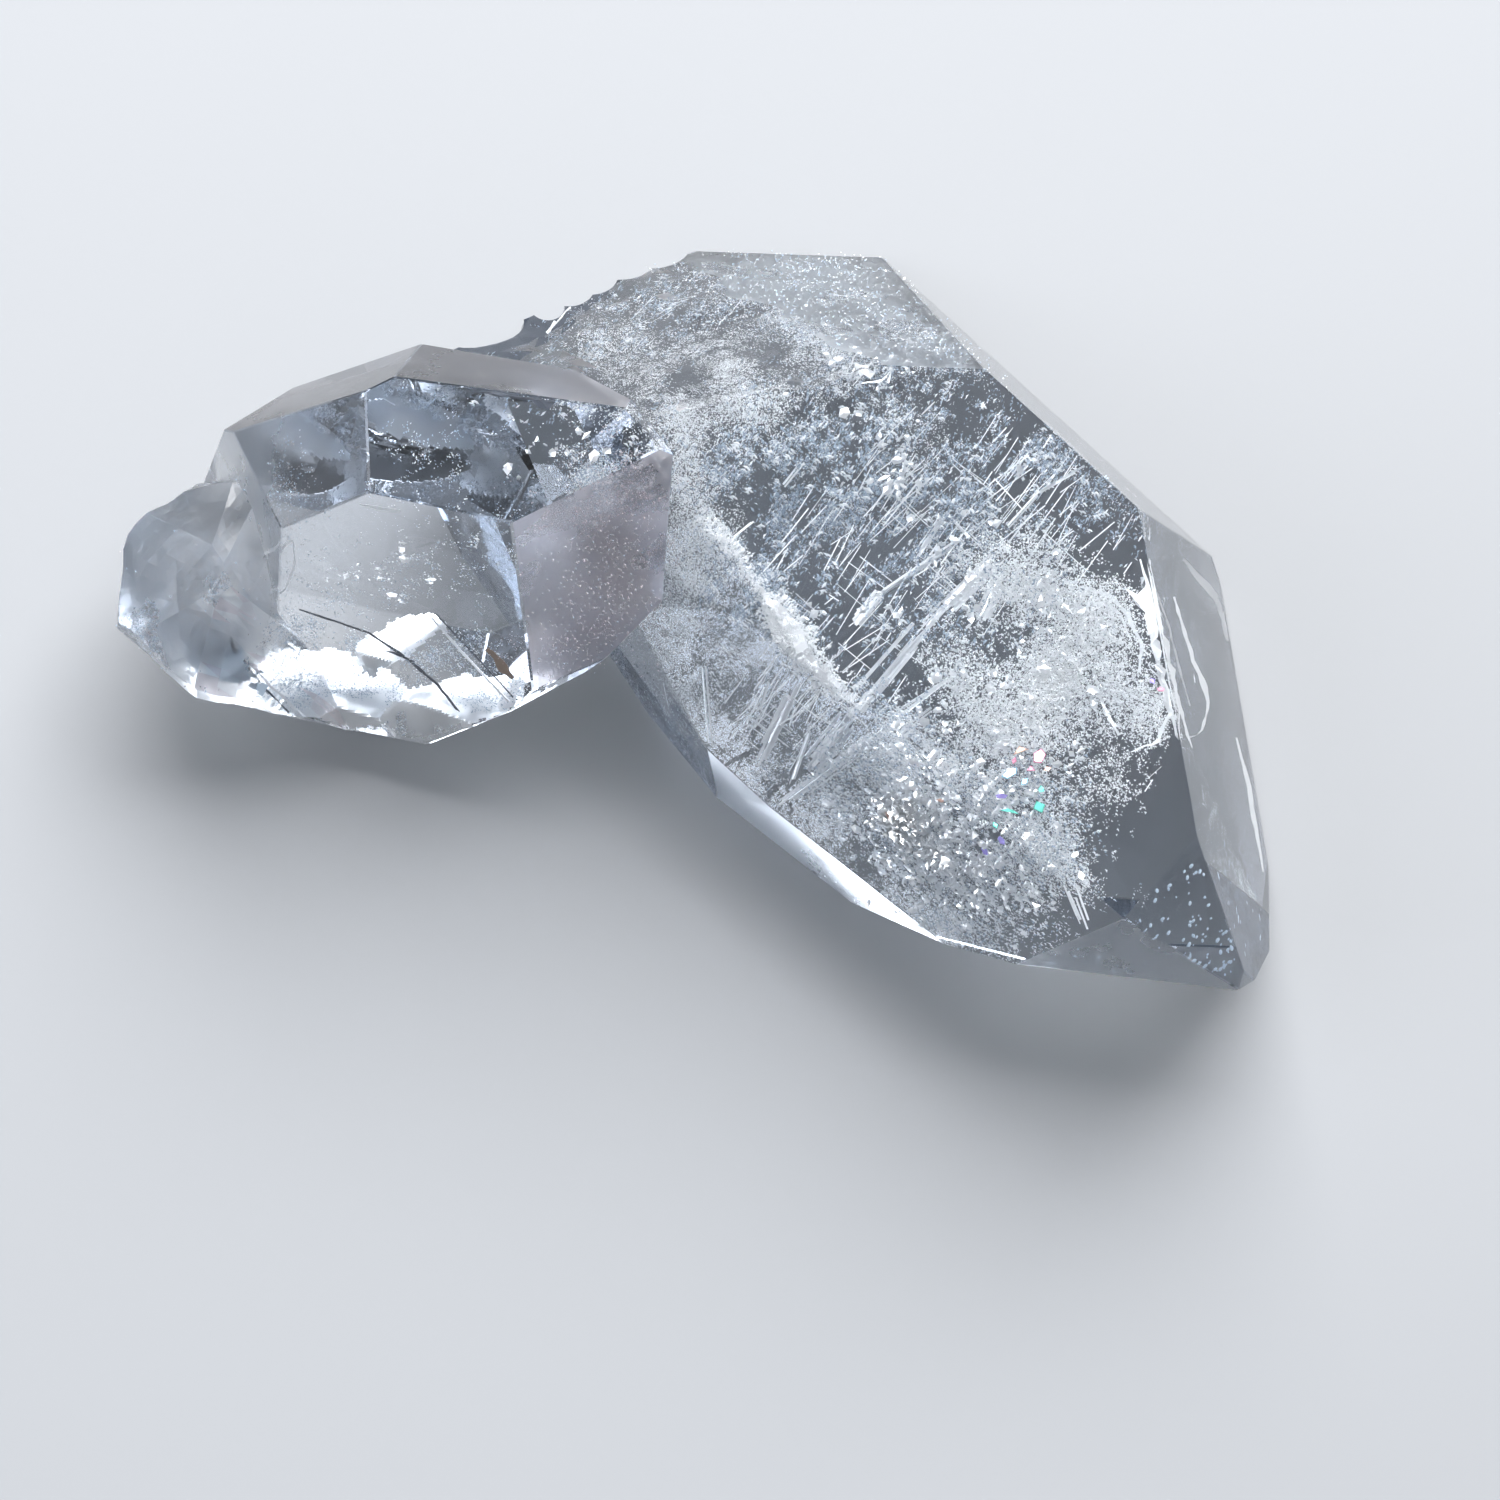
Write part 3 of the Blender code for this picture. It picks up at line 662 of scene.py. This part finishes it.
# curled cracks and rims, drawn as thin bands: points (right, up, width, depth)
bandSetup = {"thick": 0.05, "seedStep": 13.0, "bands": [
    ([(0.5, 7.7, 0.1, 0.5), (1.4, 6.5, 0.5, 0.5), (2.4, 5.0, 0.6, 0.5), (3.4, 3.4, 0.3, 0.5),
      (4.2, 2.4, 0.1, 0.5)], 1.5),
    ([(15.7, 7.8, 0.08, 1.6), (17.2, 7.3, 0.16, 1.6), (18.2, 6.2, 0.2, 1.6), (18.7, 4.9, 0.16, 1.6),
      (18.6, 3.7, 0.1, 1.6)], 1.6),
    ([(16.2, 7.3, 0.05, 1.8), (17.6, 6.6, 0.1, 1.8), (18.2, 5.2, 0.1, 1.8)], 1.6),
    ([(19.1, 3.9, 0.08, 1.6), (19.9, 3.1, 0.1, 1.6), (20.1, 1.8, 0.14, 1.6), (19.5, 0.5, 0.22, 1.6),
      (18.2, -0.1, 0.08, 1.6)], 1.6),
    ([(17.6, 0.7, 0.08, 1.8), (16.9, 2.1, 0.12, 1.8), (16.3, 3.9, 0.08, 1.8)], 1.4),
    ([(18.6, 9.1, 0.08, 1.0), (19.3, 6.9, 0.25, 1.0), (19.8, 4.9, 0.3, 1.0), (20.3, 2.9, 0.22, 1.0),
      (20.8, 1.0, 0.12, 1.0), (21.1, 0.1, 0.06, 1.0)], 1.4),
    ([(19.1, 8.3, 0.05, 0.9), (19.9, 6.2, 0.1, 0.9), (20.5, 3.9, 0.1, 0.9), (21.0, 2.1, 0.06, 0.9)], 1.4),
    ([(20.2, 7.3, 0.08, 0.7), (20.6, 6.0, 0.14, 0.7), (21.0, 4.7, 0.16, 0.7), (21.6, 3.3, 0.2, 0.7),
      (21.9, 2.1, 0.14, 0.7), (21.5, 0.8, 0.1, 0.7), (21.0, 0.6, 0.06, 0.7)], 1.6),
    ([(20.7, 9.1, 0.1, 0.5), (21.7, 8.0, 0.35, 0.5), (22.4, 6.9, 0.3, 0.5), (22.8, 5.2, 0.1, 0.5)], 0.6),
    ([(23.2, 0.6, 0.06, 0.4), (23.8, -1.7, 0.2, 0.4), (24.0, -3.1, 0.22, 0.4), (24.5, -5.8, 0.06, 0.4)], 0.5),
    ([(4.6, 18.0, 0.04, 0.9), (5.1, 19.0, 0.07, 0.9), (6.1, 19.2, 0.08, 0.9), (6.8, 18.5, 0.07, 0.9),
      (6.6, 17.5, 0.05, 0.9)], 1.6),
    ([(4.9, 17.4, 0.03, 0.9), (5.5, 18.0, 0.07, 0.9), (5.9, 18.7, 0.04, 0.9)], 1.6),
    ([(5.3, 17.5, 0.05, 1.0), (6.3, 17.6, 0.08, 1.0), (6.7, 18.1, 0.05, 1.0)], 1.6),
    ([(-9.7, 19.9, 0.12, 0.4), (-8.7, 21.1, 0.16, 0.4), (-6.5, 22.3, 0.16, 0.4), (-3.3, 23.7, 0.1, 0.4)], 1.2)]}
shapes = [(path, ragged, bandSetup["thick"], bandSetup["seedStep"] * i, i % 2)
          for i, (path, ragged) in enumerate(bandSetup["bands"])]
finishPiece("curled_cracks", gather(shapes, makeRibbon, 1), mirrorCrack, tubeWhite)

# bubbles and etch pits under the point: corners of each group's field, how many, how long
bubbleSetup = {"radius": (0.05, 0.14), "sizes": (0.6, 1.0, 1.0), "flat": (0.8, 0.35), "depth": (0.2, 0.75),
               "turn": (0.2, 0.2, 1.3), "turnSway": 0.5, "seed": 97, "groups": [
    ([(18.1, -8.3), (21.2, -4.5), (23.4, -10.3), (22.5, -10.9)], 90, 1.2),
    ([(21.7, -4.3), (24.1, -3.8), (24.6, -10.0), (23.6, -10.0)], 26, 2.2),
    ([(11.9, -9.8), (17.9, -8.1), (22.2, -10.9), (16.7, -10.6)], 16, 1.5)]}


def spotIn(outline, own):
    (ax, ay), (bx, by), (cx, cy), (dx, dy) = outline
    u, v = own.random(), own.random()
    return (ax * (1 - u) * (1 - v) + bx * u * (1 - v) + cx * u * v + dx * (1 - u) * v,
            ay * (1 - u) * (1 - v) + by * u * (1 - v) + cy * u * v + dy * (1 - u) * v)


own = random.Random(bubbleSetup["seed"])
bubbles = []
for outline, count, stretch in bubbleSetup["groups"]:
    for _ in range(count):
        point = insidePoint(*spotIn(outline, own), own.uniform(*bubbleSetup["depth"]))
        if point:
            radius = own.uniform(*bubbleSetup["radius"]) * own.choice(bubbleSetup["sizes"])
            leanX, leanY, turn = bubbleSetup["turn"]
            tilt = Euler((leanX, leanY, own.gauss(turn, bubbleSetup["turnSway"])))
            wide, high = bubbleSetup["flat"]
            bubbles.append((point, tilt, (radius * stretch, radius * wide, radius * high)))
finishPiece("point_bubbles", gather(bubbles, makeBubble), frostGrey)

# the stub: frost patches and haze
stubFrostSetup = {"count": 3600, "clump": 0.25, "size": (0.05, 0.16), "seed": 101, "grain": 1.2, "gap": -0.2,
                  "depth": 1.4, "swell": 0.8, "spread": 0.5, "sides": (3,), "mix": (3, 2), "areas": [
                      (-20.0, 2.9, 3.6, 1.6, -10, 2.0), (-23.9, 4.1, 2.4, 1.2, -20, 1.0),
                      (-14.8, 2.1, 2.9, 1.1, 10, 1.2), (-12.4, 2.9, 1.9, 1.4, 0, 0.7),
                      (-7.6, 12.9, 1.2, 1.9, 30, 1.4), (-15.3, 14.3, 2.9, 1.9, 0, 0.1),
                      (-26.7, 4.8, 2.9, 1.2, -35, 0.9), (-9.1, 7.2, 2.4, 2.4, 0, 0.15),
                      (-20.5, 5.4, 3.8, 0.8, -14, 1.6), (-14.8, 4.5, 2.4, 0.8, 20, 1.0),
                      (-15.7, 8.6, 4.3, 2.1, 10, 0.2), (-20.0, 7.2, 1.9, 1.4, 0, 0.2)]}
flakePiece("stub_frost", stubFrostSetup, frostWhite, frostGrey)

# the stub's point is etched to a rosy grey
rosySetup = {"count": 2300, "clump": 0.3, "size": (0.05, 0.12), "seed": 107, "grain": 4.0, "gap": -0.9, "depth": 0.25,
             "swell": 0.05, "spread": 0.1, "lean": 0.15, "sides": (3,), "mix": (5, 1), "areas": [
                 (-7.6, 9.1, 2.4, 3.6, -10, 1.0), (-5.5, 11.0, 1.9, 2.9, 0, 1.0), (-7.6, 5.7, 3.3, 1.6, 25, 1.0),
                 (-6.2, 7.2, 2.1, 2.4, 0, 1.0), (-9.1, 4.8, 2.1, 0.9, 25, 0.8)]}
flakePiece("stub_point_frost", rosySetup, rosyFrost, frostGrey)

# the stub's base is clouded all through
lumpSetup = {"count": 2200, "clump": 0.35, "size": (0.06, 0.15), "seed": 113, "grain": 1.0, "gap": -0.45, "depth": 0.8,
             "swell": 0.4, "spread": 0.5, "sides": (3,), "mix": (2, 3), "areas": [
                 (-27.9, 7.6, 2.4, 3.6, 10, 1.0), (-25.5, 9.3, 1.9, 1.9, 30, 0.8), (-26.0, 5.5, 2.9, 1.9, -30, 1.0),
                 (-24.1, 7.2, 1.9, 2.4, 0, 0.6), (-23.1, 11.9, 2.4, 2.4, 40, 0.3)]}
flakePiece("stub_base_haze", lumpSetup, smokyFrost, frostGrey)

# the bright crack low in the stub mirrors the lamp behind: middle, half sizes and turn, then depth, direction,
# cell, wave, bow, tears, seed and slot
skyCrack = [
    ((-20.4, 2.9, 4.5, 2.4, -4), 1.5, (-0.09, -0.02, 1.0), 0.12, 0.05, -0.65, 0.14, 3.0, 0),
    ((-16.8, 5.3, 2.7, 1.1, 28), 2.0, (-0.09, -0.02, 1.0), 0.12, 0.05, -0.35, 0.35, 5.0, 0),
    ((-13.9, 2.4, 3.8, 1.4, 12), 1.5, (-0.02, -0.06, 1.0), 0.12, 0.10, -0.45, 0.35, 7.0, 0),
    ((-25.0, 4.2, 2.4, 1.0, -28), 1.0, (-0.15, -0.05, 1.0), 0.12, 0.16, 0.20, 0.6, 9.0, 1)]
finishPiece("sky_mirroring_cracks", gather(skyCrack, makeCrack, 1), mirrorCrack, frostGrey)

# steps and edges of cracks in the stub, and its stained chip: points (right, up, width, depth), raggedness, slot
stubBands = {"thick": 0.05, "seedStep": 7.0, "bands": [
    ([(-25.3, 6.0, 0.10, 0.9), (-24.1, 4.5, 0.16, 0.9), (-22.9, 3.1, 0.14, 0.8), (-20.7, 1.1, 0.08, 0.6)], 0.8, 0),
    ([(-24.9, 5.2, 0.08, 0.8), (-23.3, 3.1, 0.1, 0.8), (-21.5, 1.3, 0.08, 0.6)], 0.8, 1),
    ([(-21.5, 6.7, 0.06, 1.0), (-18.2, 5.6, 0.1, 1.0), (-16.3, 4.3, 0.1, 1.0), (-14.9, 3.1, 0.12, 0.9),
      (-13.4, 1.2, 0.08, 0.6)], 0.8, 1),
    ([(-15.2, 6.3, 0.08, 1.0), (-13.4, 4.3, 0.12, 0.9), (-11.5, 2.3, 0.08, 0.7)], 0.6, 0),
    ([(-15.0, 6.5, 0.05, 1.0), (-13.1, 4.5, 0.07, 0.9), (-11.3, 2.5, 0.05, 0.7)], 0.6, 1),
    ([(-18.4, 4.4, 0.06, 0.8), (-17.2, 4.7, 0.12, 0.8), (-16.0, 4.2, 0.06, 0.8)], 0.6, 1),
    ([(-23.9, 9.0, 0.08, 0.5), (-22.9, 9.5, 0.16, 0.5), (-21.8, 10.0, 0.08, 0.5)], 0.6, 0),
    ([(-21.8, 10.0, 0.05, 0.6), (-21.7, 8.8, 0.1, 0.6), (-22.2, 7.6, 0.08, 0.6), (-24.3, 7.4, 0.08, 0.6),
      (-26.6, 7.3, 0.05, 0.6)], 0.8, 0),
    ([(-14.5, 17.9, 0.08, 0.5), (-11.9, 17.1, 0.25, 0.5), (-9.3, 16.6, 0.08, 0.5)], 0.6, 1),
    ([(-18.6, 11.7, 0.08, 0.6), (-17.4, 11.5, 0.16, 0.6), (-16.7, 11.4, 0.08, 0.6)], 0.6, 0),
    ([(-12.6, 4.8, 0.15, 0.8), (-12.0, 4.2, 0.5, 0.8), (-11.3, 3.4, 0.15, 0.8)], 1.0, 2)]}
shapes = [(path, ragged, stubBands["thick"], stubBands["seedStep"] * i, slot)
          for i, (path, ragged, slot) in enumerate(stubBands["bands"])]
finishPiece("stub_cracks", gather(shapes, makeRibbon, 1), mirrorCrack, shadowGrey, brownIron)
print("pieces ready")
